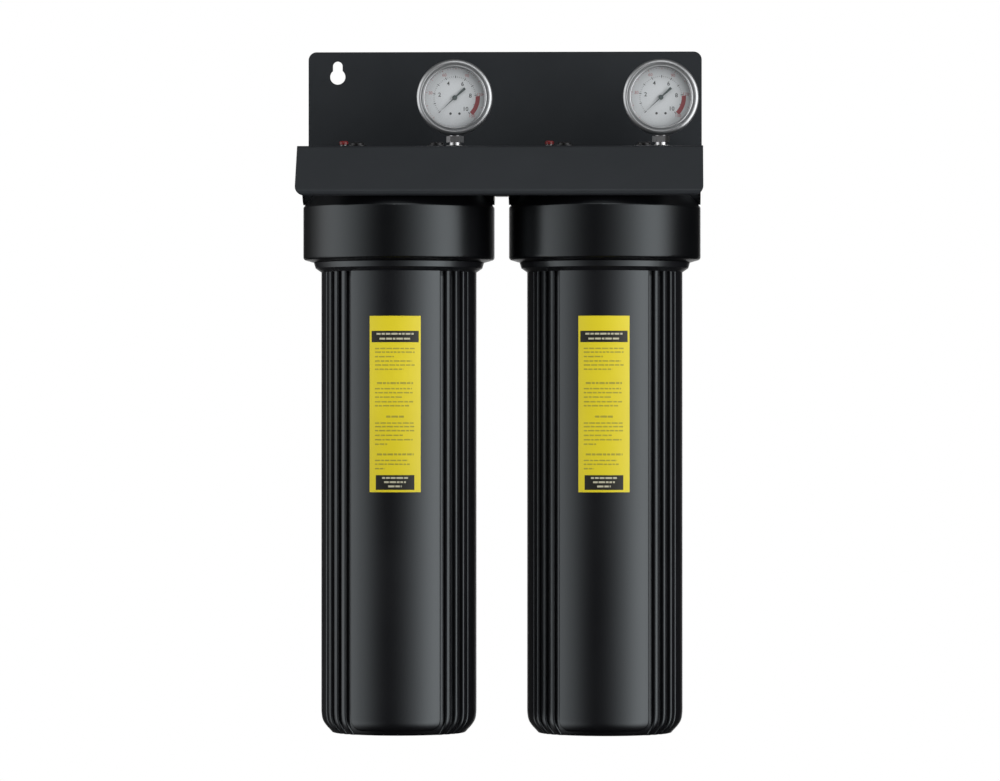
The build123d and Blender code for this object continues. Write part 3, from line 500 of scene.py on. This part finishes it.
def studio_light(tree, apart, path):
    """Bands of light round the object, and an even fill that reflections see only from above."""
    front = math_node(tree, "MULTIPLY", apart.outputs["Y"], -1.0)
    angle = math_node(tree, "ARCTAN2", apart.outputs["X"], front)
    turn = math_node(tree, "MULTIPLY_ADD", angle, 0.5 / math.pi, 0.5)
    top = max(level for _, level in STUDIO_BANDS)
    stops = [((degrees + 180) / 360, (level / top,) * 3) for degrees, level in STUDIO_BANDS]
    bands = ramp(tree, turn, stops)
    raised = math_node(tree, "MULTIPLY", apart.outputs["Z"], UP_STRETCH)
    lowered = math_node(tree, "MULTIPLY", apart.outputs["Z"], -1.0)
    height = math_node(tree, "MAXIMUM", raised, lowered)
    strength = math_node(tree, "MULTIPLY", soft_step(tree, height, *BAND_EDGE), top)
    soft = tree.nodes.new("ShaderNodeBackground")
    tree.links.new(bands, soft.inputs["Color"])
    tree.links.new(strength, soft.inputs["Strength"])
    fill = tree.nodes.new("ShaderNodeBackground")
    fill.inputs["Color"].default_value = (AMBIENT, AMBIENT, AMBIENT, 1.0)
    upward = soft_step(tree, apart.outputs["Z"], *GLOSSY_FILL_EDGE)
    plain = math_node(tree, "SUBTRACT", 1.0, path.outputs["Is Glossy Ray"])
    tree.links.new(math_node(tree, "MAXIMUM", plain, upward), fill.inputs["Strength"])
    lit = tree.nodes.new("ShaderNodeAddShader")
    tree.links.new(soft.outputs["Background"], lit.inputs[0])
    tree.links.new(fill.outputs["Background"], lit.inputs[1])
    return lit.outputs["Shader"]


def set_world():
    """The studio's light, behind a white backdrop for the camera and for grazing reflections."""
    world = bpy.data.worlds.new("studio")
    world.use_nodes = True
    tree = world.node_tree
    tree.nodes.clear()
    output = tree.nodes.new("ShaderNodeOutputWorld")
    place = tree.nodes.new("ShaderNodeTexCoord")
    apart = tree.nodes.new("ShaderNodeSeparateXYZ")
    tree.links.new(place.outputs["Generated"], apart.inputs["Vector"])
    path = tree.nodes.new("ShaderNodeLightPath")
    lit = studio_light(tree, apart, path)
    white = tree.nodes.new("ShaderNodeBackground")
    white.inputs["Color"].default_value = (1.0, 1.0, 1.0, 1.0)
    behind = soft_step(tree, apart.outputs["Y"], *BACKDROP_EDGE)
    shine = math_node(tree, "MULTIPLY", behind, path.outputs["Is Glossy Ray"])
    straight = math_node(tree, "MAXIMUM", path.outputs["Is Camera Ray"],
                         path.outputs["Is Transmission Ray"])
    seen = math_node(tree, "MAXIMUM", straight, shine)
    final = mixed(tree, seen, lit, white.outputs["Background"])
    tree.links.new(final, output.inputs["Surface"])
    bpy.context.scene.world = world


def set_floor():
    """Pale floor that keeps the shadow, fades to white for the camera, and isn't reflected."""
    mesh = bpy.data.meshes.new("floor")
    rim = []
    for k in range(FLOOR_SIDES):
        turn = k * math.tau / FLOOR_SIDES
        rim.append((FLOOR_RADIUS * math.cos(turn), FLOOR_RADIUS * math.sin(turn), FLOOR_Z))
    mesh.from_pydata(rim, [], [tuple(range(FLOOR_SIDES))])
    floor = bpy.data.objects.new("floor", mesh)
    bpy.context.scene.collection.objects.link(floor)
    material, tree, surface = shader("floor_white")
    surface.inputs["Base Color"].default_value = (FLOOR_GREY, FLOOR_GREY, FLOOR_GREY, 1.0)
    surface.inputs["Roughness"].default_value = FLOOR_ROUGHNESS
    surface.inputs["Specular IOR Level"].default_value = 0.0
    glow = tree.nodes.new("ShaderNodeEmission")
    path = tree.nodes.new("ShaderNodeLightPath")
    apart = tree.nodes.new("ShaderNodeVectorMath")
    apart.operation = "MULTIPLY"
    apart.inputs[1].default_value = (1.0, 1.0, 0.0)
    tree.links.new(object_place(tree), apart.inputs[0])
    away = tree.nodes.new("ShaderNodeVectorMath")
    away.operation = "LENGTH"
    tree.links.new(apart.outputs["Vector"], away.inputs[0])
    start, end = (share * FLOOR_RADIUS for share in FLOOR_FADE)
    fade = soft_step(tree, away.outputs["Value"], start, end, *FLOOR_GLOW)
    share = math_node(tree, "MULTIPLY", path.outputs["Is Camera Ray"], fade)
    pale = mixed(tree, share, surface.outputs["BSDF"], glow.outputs["Emission"])
    open_view = tree.nodes.new("ShaderNodeBsdfTransparent")
    final = mixed(tree, path.outputs["Is Glossy Ray"], pale, open_view.outputs["BSDF"])
    tree.links.new(final, tree.nodes["Material Output"].inputs["Surface"])
    floor.data.materials.append(material)


# Helpers for the pieces
def mesh_piece(name, points, faces, material, body, slot=None):
    mesh = bpy.data.meshes.new(name)
    mesh.from_pydata(points, [], faces)
    mesh.materials.append(material)
    piece = bpy.data.objects.new(name, mesh)
    bpy.context.scene.collection.objects.link(piece)
    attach(piece, body)
    return piece


def smooth(piece, sharp):
    """Smooth shading, but for edges steeper than the angle."""
    mesh = piece.data
    mesh.polygons.foreach_set("use_smooth", [True] * len(mesh.polygons))
    mesh.set_sharp_from_angle(angle=math.radians(sharp))


def belt(first, second, count):
    """Quads between two rings of points, which start at first and second."""
    return [(first + k, first + (k + 1) % count, second + (k + 1) % count, second + k)
            for k in range(count)]


def closed_belts(rings, count):
    """Quads from each ring to the next, and from the last one back to the first."""
    faces = []
    for j in range(rings):
        faces += belt(j * count, (j + 1) % rings * count, count)
    return faces


def between(table, value):
    """The table's second column at a value of its first, along straight lines."""
    for (low, start), (high, end) in zip(table, table[1:]):
        if value <= high:
            share = max(0.0, (value - low) / (high - low))
            return start + (end - start) * share
    return table[-1][1]


# Sumps
def relief_features():
    """Panels and ribs round the sump: (middle angle, half angle, is a front or back panel)."""
    rib = math.degrees(RIB_HALF / PANEL_RADIUS)
    features = [(front, FRONT_HALF_ANGLE, True) for front in (-90, 90)]
    features += [(side, SIDE_HALF_ANGLE, False) for side in (0, 180)]
    for front in (-90, 90):
        for turn in (-1, 1):
            features += [(front + turn * (RIB_GROUP + k * RIB_PITCH), rib, False)
                         for k in (-1, 0, 1)]
    return features


def relief_columns(features):
    """Angles round the sump, close together where an edge is rounded."""
    columns = set()
    for middle, half, front in features:
        inside = EDGE_DEPTHS + CORNER_DEPTHS if front else EDGE_DEPTHS
        for turn in (-1, 1):
            columns.add(middle + turn * (half + COLUMN_GAP))
            for depth in inside:
                columns.add(middle + turn * (half - math.degrees(depth / PANEL_RADIUS)))
        columns.add(middle)
        steps = int(half // COLUMN_STEP)
        columns.update(middle + COLUMN_STEP * k for k in range(-steps + 1, steps))
    return sorted(angle % 360 for angle in columns)


def wall_radius(angle, height, features):
    """Outer radius of the sump under its collar."""
    core = between(FOOT_CORE, height)
    for middle, half, front in features:
        away = abs((angle - middle + 180) % 360 - 180)
        if away > half + ANGLE_SLACK:
            continue
        depth = math.radians(half - away) * PANEL_RADIUS
        top = between(FOOT_RELIEF, height)
        if front:
            left = 1 - (height - FOOT_END) / FRONT_ROLL_HEIGHT
            top = PANEL_RADIUS - FRONT_ROLL * max(0.0, min(1.0, left)) ** 2
            up = height - FOOT_END
            if depth < CORNER and up < CORNER:
                depth = CORNER - math.hypot(CORNER - depth, CORNER - up)
            else:
                depth = min(depth, up)
        elif half < SIDE_HALF_ANGLE:
            top -= RIB_CROWN * (1 - depth / RIB_HALF) ** 2
        if depth < 0:
            return core
        if depth < EDGE_ROUND:
            top -= EDGE_ROUND * (1 - math.sqrt(1 - (1 - depth / EDGE_ROUND) ** 2))
        return max(core, top)
    return core


def thread_radius(angle, z):
    """Right-hand thread, cut in from its outer radius."""
    turn = (z / THREAD_PITCH - angle / 360) % 1.0
    wave = min(1.0, max(0.0, THREAD_SLOPE * abs(turn - 0.5) - THREAD_FLAT))
    fade = min(1.0, (z - COLLAR_TOP) / THREAD_FADE, (GROOVE[0] - z) / THREAD_FADE)
    return THREAD_RADIUS - THREAD_DEPTH * wave * max(0.0, fade)


def sump_rows(columns, features):
    """Rings from the middle of the foot, up the outside, over the rim and down inside."""
    wall_top = COLLAR_TOP - COLLAR_HEIGHT - CONE_HEIGHT
    rows = []
    heights = list(FOOT_HEIGHTS)
    wall = wall_top - WALL_GAP - SUMP_LOW
    heights += [heights[-1] + (wall - heights[-1]) * k / WALL_STEPS
                for k in range(1, WALL_STEPS + 1)]
    for height in heights:
        rows.append([(wall_radius(angle, height, features), SUMP_LOW + height)
                     for angle in columns])
    rings = [(PANEL_RADIUS, wall_top), (COLLAR_LOWER, COLLAR_TOP - COLLAR_HEIGHT),
             (COLLAR_RADIUS, COLLAR_TOP - COLLAR_EDGE),
             (COLLAR_RADIUS - COLLAR_EDGE, COLLAR_TOP), (THREAD_RADIUS, COLLAR_TOP)]
    rows += [[ring] * len(columns) for ring in rings]
    for k in range(1, THREAD_ROWS):
        z = COLLAR_TOP + (GROOVE[0] - COLLAR_TOP) * k / THREAD_ROWS
        rows.append([(thread_radius(angle, z), z) for angle in columns])
    rings = [(THREAD_RADIUS, GROOVE[0]), (GROOVE[2], GROOVE[0]), (GROOVE[2], GROOVE[1]),
             (THREAD_RADIUS, GROOVE[1]), (THREAD_RADIUS, SUMP_HIGH - RIM_EDGE),
             (THREAD_RADIUS - RIM_EDGE, SUMP_HIGH)]
    rings += list(BOWL)
    floor = SUMP_LOW + FLOOR_THICKNESS
    corner = BOWL[-1][0] - BOWL_ROUND
    for k in range(BOWL_STEPS + 1):
        turn = math.radians(90 * k / BOWL_STEPS)
        rings.append((corner + BOWL_ROUND * math.cos(turn),
                      floor + BOWL_ROUND * (1 - math.sin(turn))))
    rings += [(radius, floor + up) for radius, up in SPUD]
    rows += [[ring] * len(columns) for ring in rings]
    return rows


def sump_shell(side, x):
    """The sump's skin, from the foot over the rim to the spud, closed at both ends."""
    features = relief_features()
    columns = relief_columns(features)
    rows = sump_rows(columns, features)
    count = len(columns)
    points = [(x, AXIS_Y, SUMP_LOW)]
    for row in rows:
        for angle, (radius, z) in zip(columns, row):
            turn = math.radians(angle)
            points.append((x + radius * math.cos(turn), AXIS_Y + radius * math.sin(turn), z))
    points.append((x, AXIS_Y, rows[-1][0][1]))
    faces = [(0, 1 + (k + 1) % count, 1 + k) for k in range(count)]
    for j in range(len(rows) - 1):
        faces += belt(1 + j * count, 1 + (j + 1) * count, count)
    last = 1 + (len(rows) - 1) * count
    faces += [(last + k, last + (k + 1) % count, len(points) - 1) for k in range(count)]
    name = f"{side}_sump"
    shell = mesh_piece(f"{name}_shell", points, faces, materials["housing_plastic"], name,
                       "housing_plastic")
    smooth(shell, SHELL_SHARP)
    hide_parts(name)


for side, x in SUMP_X.items():
    sump_shell(side, x)


# Nipple
def nipple_piece():
    """Threaded nipple between the heads, with its hexagon turned flat side down."""
    low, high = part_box("joining_nipple")
    middle = [(a + b) / 2 for a, b in zip(low, high)]
    length = (high[0] - low[0]) / 2
    rows = [(-length, NIPPLE_BORE, False), (-length, NIPPLE_RADIUS - NIPPLE_CHAMFER, False),
            (-length + NIPPLE_CHAMFER, NIPPLE_RADIUS, False)]
    rows += [(-NIPPLE_HEX_HALF, NIPPLE_RADIUS, False),
             (-NIPPLE_HEX_HALF, NIPPLE_FLAT - NIPPLE_HEX_EDGE, False),
             (-NIPPLE_HEX_HALF + NIPPLE_HEX_CHAMFER, NIPPLE_FLAT, True)]
    rows += [(-along, radius, hexagon) for along, radius, hexagon in reversed(rows)]
    points = []
    for along, radius, hexagon in rows:
        for k in range(NIPPLE_SIDES):
            turn = math.tau * k / NIPPLE_SIDES
            reach = radius
            if hexagon:
                reach /= math.cos(turn % (math.pi / 3) - math.pi / 6)
            points.append((middle[0] + along, middle[1] + reach * math.cos(turn),
                           middle[2] + reach * math.sin(turn)))
    faces = closed_belts(len(rows), NIPPLE_SIDES)
    # The nipple wears the black zinc in place of its brass: painted shade in the gap under the
    # apron between the heads.
    nipple = mesh_piece("joining_nipple_hex", points, faces, materials["black_steel"], "root",
                        "brass")
    smooth(nipple, SHELL_SHARP)
    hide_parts("joining_nipple")


nipple_piece()


# Springs
def relief_spring(side):
    """Coil with closed ends under the relief button, parented to the relief's body."""
    name = f"{side}_relief_spring"
    low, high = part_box(name)
    x, y = (low[0] + high[0]) / 2, (low[1] + high[1]) / 2
    bottom, top = low[2] + COIL_WIRE + COIL_GAP, high[2] - COIL_WIRE - COIL_GAP
    rise = 2 * COIL_WIRE + COIL_GAP
    climb = ((0, bottom), (1, bottom + rise), (COIL_TURNS - 1, top - rise), (COIL_TURNS, top))
    points, faces = [], []
    rings = COIL_TURNS * COIL_STEPS + 1
    for j in range(rings):
        turn = math.tau * j / COIL_STEPS
        z = between(climb, j / COIL_STEPS)
        for k in range(COIL_SIDES):
            around = math.tau * k / COIL_SIDES
            reach = COIL_RADIUS + COIL_WIRE * math.cos(around)
            points.append((x + reach * math.cos(turn), y + reach * math.sin(turn),
                           z + COIL_WIRE * math.sin(around)))
    for j in range(rings - 1):
        first, second = j * COIL_SIDES, (j + 1) * COIL_SIDES
        for k in range(COIL_SIDES):
            step = (k + 1) % COIL_SIDES
            faces.append((first + k, second + k, second + step, first + step))
    end = range(len(points) - COIL_SIDES, len(points))
    faces += [tuple(range(COIL_SIDES)), tuple(reversed(end))]
    coil = mesh_piece(f"{name}_coil", points, faces, materials["spring_steel"],
                      f"{side}_relief", "spring_steel")
    smooth(coil, COIL_SHARP)
    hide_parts(name)
    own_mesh(coil)


for side in SUMP_X:
    relief_spring(side)


# Labels
def wrapped(patches, x, radius, steps):
    """Rectangles (left, right, bottom, top), in metres across the panel, on its round face."""
    points, faces = [], []
    for left, right, bottom, top in patches:
        first = len(points)
        for k in range(steps + 1):
            across = left + (right - left) * k / steps
            angle = across / radius
            place = (x + radius * math.sin(angle), AXIS_Y - radius * math.cos(angle))
            points.append((*place, bottom))
            points.append((*place, top))
        for k in range(steps):
            corner = first + 2 * k
            faces.append((corner, corner + 2, corner + 3, corner + 1))
    return points, faces


def bar_row(left, right, top, height, seed):
    """One row of short bars with small gaps, like a line of print too small to read."""
    bars = []
    place = left
    while place < right:
        seed = (seed * SEED_FACTOR + SEED_STEP) % SEED_CYCLE
        width = BAR_SHORTEST + BAR_SPREAD * seed / SEED_CYCLE
        bars.append((place, min(place + width, right), top - height, top))
        place += width + BAR_GAP
    return bars


def label_lines():
    """Bars in four groups of rows, three of them under a heading row."""
    bars = []
    left = ROW_LEFT * LABEL_HALF
    row = 0
    for heading, rows in LABEL_GROUPS:
        if heading:
            drop, start, end = heading
            bars += bar_row(start * LABEL_HALF, end * LABEL_HALF, LABEL_TOP - drop,
                            HEADING_HEIGHT, row + HEADING_SEED)
        for drop, end in rows:
            row += 1
            bars += bar_row(left, end * LABEL_HALF, LABEL_TOP - drop, ROW_HEIGHT, row)
    return bars


def label(side, x):
    body = f"{side}_sump"
    ink = PANEL_RADIUS + FILM + INK
    film = [(-LABEL_HALF, LABEL_HALF, LABEL_BOTTOM, LABEL_TOP)]
    mesh_piece(f"{side}_label_film", *wrapped(film, x, PANEL_RADIUS + FILM, FILM_STEPS),
               label_yellow, body)
    bands = [(-half * LABEL_HALF, half * LABEL_HALF, bottom, top)
             for half, bottom, top in LABEL_BANDS]
    pale = []
    for row, (top, half) in enumerate(LABEL_PALE):
        pale += bar_row(-half * LABEL_HALF, half * LABEL_HALF, top, PALE_HEIGHT,
                        row + PALE_SEED)
    mesh_piece(f"{side}_label_bands", *wrapped(bands, x, ink, BAND_STEPS), label_black, body)
    mesh_piece(f"{side}_label_rules", *wrapped(label_lines(), x, ink, BAR_STEPS),
               label_grey, body)
    mesh_piece(f"{side}_label_light",
               *wrapped(pale, x, PANEL_RADIUS + FILM + 2 * INK, BAR_STEPS), label_pale, body)


for side, x in SUMP_X.items():
    label(side, x)


# Gauges
def bezel_ring(side, x):
    """Rolled bezel: a sloping band, a groove and a bead, turned about the gauge's middle."""
    points = []
    for radius, y in BEZEL_OUTLINE:
        for k in range(BEZEL_SIDES):
            turn = math.tau * k / BEZEL_SIDES
            points.append((x + radius * math.sin(turn), y, GAUGE_Z + radius * math.cos(turn)))
    faces = closed_belts(len(BEZEL_OUTLINE), BEZEL_SIDES)
    name = f"{side}_gauge_bezel"
    ring = mesh_piece(f"{name}_ring", points, faces, satin_bezel, "root", "gauge_chrome")
    smooth(ring, BEZEL_SHARP)
    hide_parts(name)


def on_dial(radius, degrees, x, lift):
    turn = math.radians(degrees)
    return (x + radius * math.cos(turn), DIAL_Y - lift, GAUGE_Z + radius * math.sin(turn))


def ring_patches(arcs, x, lift):
    """Arcs (inner radius, outer radius, first angle, last angle) as flat quads on the dial."""
    points, faces = [], []
    for inner, outer, first, last in arcs:
        count = max(1, round(abs(last - first) / ARC_STEP))
        start = len(points)
        for k in range(count + 1):
            angle = first + (last - first) * k / count
            points.append(on_dial(inner, angle, x, lift))
            points.append(on_dial(outer, angle, x, lift))
        for k in range(count):
            corner = start + 2 * k
            faces.append((corner, corner + 1, corner + 3, corner + 2))
    return points, faces


def dial_ticks(inner, outer, count, half_width, skip=0):
    turns = [ZERO_ANGLE - SWEEP * k / count for k in range(count + 1) if not skip or k % skip]
    return [(inner, outer, turn - half_width, turn + half_width) for turn in turns]


def dial_spots(x):
    """Two small dots in the lower part of the dial."""
    points, faces = [], []
    for across, up in SPOTS:
        faces.append(tuple(range(len(points), len(points) + SPOT_SIDES)))
        for k in range(SPOT_SIDES):
            turn = math.tau * k / SPOT_SIDES
            points.append((x + across + SPOT_RADIUS * math.cos(turn), DIAL_Y - TICK_LIFT,
                           GAUGE_Z + up + SPOT_RADIUS * math.sin(turn)))
    return points, faces


def number(name, text, radius, degrees, size, x, material):
    data = bpy.data.curves.new(name, "FONT")
    data.body = text
    data.size = size
    data.align_x = "CENTER"
    data.align_y = "CENTER"
    data.offset = size * NUMBER_WEIGHT
    data.resolution_u = 3
    data.materials.append(material)
    piece = bpy.data.objects.new(name, data)
    bpy.context.scene.collection.objects.link(piece)
    piece.location = on_dial(radius, degrees, x, PRINT_LIFT)
    piece.rotation_euler = (math.pi / 2, 0.0, 0.0)
    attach(piece, "root")


def dial_numbers(side, ring, numbers, k, x, material):
    step, radius, size = numbers
    angle = ZERO_ANGLE - SWEEP * k / NUMBER_COUNT
    number(f"{side}_dial_{ring}_{k}", str(step * k), radius, angle, size, x, material)


def dial_print(side, x):
    rim = dial_ticks(*RIM_SMALL_TICKS, skip=TICK_SKIP) + dial_ticks(*RIM_LARGE_TICKS)
    mesh_piece(f"{side}_dial_rim_ticks", *ring_patches(rim, x, TICK_LIFT), dial_rose, "root")
    inner = dial_ticks(*INNER_SMALL_TICKS, skip=TICK_SKIP) + dial_ticks(*INNER_LARGE_TICKS)
    mesh_piece(f"{side}_dial_ticks", *ring_patches(inner, x, TICK_LIFT), dial_ink, "root")
    mesh_piece(f"{side}_dial_red_band", *ring_patches([RED_BAND], x, PRINT_LIFT), dial_red,
               "root")
    mesh_piece(f"{side}_dial_spots", *dial_spots(x), dial_ink, "root")
    for k in range(1, NUMBER_COUNT + 1):
        dial_numbers(side, "outer", OUTER_NUMBERS, k, x, dial_rose)
        dial_numbers(side, "inner", INNER_NUMBERS, k, x, dial_ink)


for side, x in GAUGE_X.items():
    bezel_ring(side, x)
    dial_print(side, x)


set_camera()
set_world()
set_floor()
lamp("front_softbox", LAMP_PLACE, LAMP_TARGET, *LAMP_SIZE, LAMP_POWER)
bpy.context.scene.view_settings.view_transform = "Standard"
